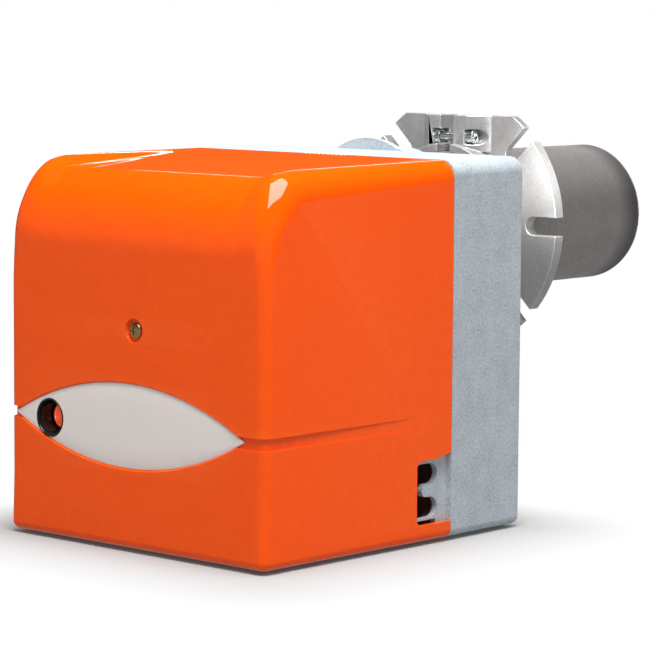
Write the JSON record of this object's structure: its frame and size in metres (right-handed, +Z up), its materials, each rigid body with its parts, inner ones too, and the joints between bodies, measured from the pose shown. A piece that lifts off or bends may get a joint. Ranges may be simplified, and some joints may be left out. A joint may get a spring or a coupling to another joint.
{
  "type": "diesel burner",
  "caption": "Light-oil burner with a moulded orange hood, a die-cast body behind it, and a blast tube with a sliding clamped flange for the boiler door.",
  "frame": {"origin": "on the surface the burner stands on, under the middle of its length and width", "axes": "+Z up; +Y along the blast tube, from the hood to the tube's mouth; +X to the right of somebody who faces the hood"},
  "size_m": [0.245, 0.492, 0.2765],
  "materials": {
    "hood_plastic": "moulded orange-red plastic, glossy",
    "casting": "die-cast aluminium, blue-grey, matt and speckled",
    "plate_steel": "zinc-plated sheet and turned steel",
    "zinc_screws": "zinc-plated",
    "tube_steel": "dark heat-resistant steel with a paler mouth",
    "flange_casting": "die-cast aluminium, satin",
    "badge_plate": "pale satin plate, bare",
    "collar_plastic": "black, glossy",
    "reset_red": "translucent red, glossy",
    "bare_aluminium": "bare die-cast aluminium",
    "stator_iron": "laminated iron",
    "copper": "copper",
    "bearing_steel": "ground steel",
    "pale_plastic": "pale plastic",
    "black_plastic": "black plastic",
    "pump_alloy": "grey pump casting",
    "brass": "turned brass",
    "control_plastic": "dark grey plastic",
    "transformer_shell": "dark grey shell filled with resin",
    "fan_steel": "galvanised sheet",
    "ceramic": "white glazed ceramic"
  },
  "bodies": {
    "burner": {"burner_body": "casting", "mounting_plate": "plate_steel", "plate_screws": "zinc_screws", "blast_tube": "tube_steel", "tube_screws": "zinc_screws", "fan_scroll": "bare_aluminium", "scroll_cover": "bare_aluminium", "scroll_screws": "zinc_screws", "motor_housing": "bare_aluminium", "motor_end_cap": "bare_aluminium", "motor_stator": "stator_iron", "motor_windings": "copper", "motor_bearings": "bearing_steel", "motor_screws": "zinc_screws", "motor_capacitor": "pale_plastic", "capacitor_saddles": "black_plastic", "air_box": "black_plastic", "oil_pump": "pump_alloy", "pump_cover": "pump_alloy", "pump_screws": "zinc_screws", "hose_nipples": "brass", "valve_stem": "plate_steel", "valve_coil": "black_plastic", "pipe_union": "brass", "oil_pipe": "copper", "head_cover": "plate_steel", "lock_screw": "zinc_screws", "photocell": "black_plastic", "control_bracket": "plate_steel", "control_base": "black_plastic", "control_box": "control_plastic", "ignition_transformer": "transformer_shell", "terminal_socket": "black_plastic"},
    "rotor": {"motor_rotor": "stator_iron", "motor_shaft": "bearing_steel", "fan_wheel": "fan_steel", "fan_set_screw": "zinc_screws", "pump_coupling": "pale_plastic", "pump_shaft": "bearing_steel"},
    "damper": {"damper_flap": "plate_steel", "damper_knob": "black_plastic"},
    "reset": {"reset_button": "reset_red"},
    "flange": {"boiler_flange": "flange_casting", "clamp_screw": "zinc_screws", "clamp_nut": "zinc_screws"},
    "hood": {"hood": "hood_plastic", "badge": "badge_plate", "reset_collar": "collar_plastic", "hood_screw": "zinc_screws"},
    "head": {"nozzle_line": "bearing_steel", "line_elbow": "brass", "nozzle_holder": "brass", "oil_nozzle": "bearing_steel", "flame_disc": "plate_steel", "disc_carrier": "plate_steel", "head_spider": "plate_steel", "electrodes": "bearing_steel", "insulators": "ceramic", "electrode_clamp": "plate_steel"}
  },
  "joints": [
    {"name": "rotor_spin", "type": "hinge", "parent": "burner", "child": "rotor", "pos_m": [0, -0.133, 0.084], "axis": [1, 0, 0], "continuous": true},
    {"name": "damper_turn", "type": "hinge", "parent": "burner", "child": "damper", "pos_m": [0.045, -0.205, 0.084], "axis": [0, 0, 1], "range_deg": [0, 90]},
    {"name": "reset_press", "type": "slide", "parent": "burner", "child": "reset", "axis": [0, 1, 0], "range_m": [0, 0.0025], "stiffness_N_per_m": 600, "springref_m": -0.002},
    {"name": "flange_slide", "type": "slide", "parent": "burner", "child": "flange", "axis": [0, 1, 0], "range_m": [-0.035, 0.06]},
    {"name": "hood_lift", "type": "slide", "parent": "burner", "child": "hood", "axis": [0, -1, 0], "range_m": [0, 0.25]},
    {"name": "head_slide", "type": "slide", "parent": "burner", "child": "head", "axis": [0, 1, 0], "range_m": [0, 0.012], "deforming": ["oil_pipe"]}
  ]
}
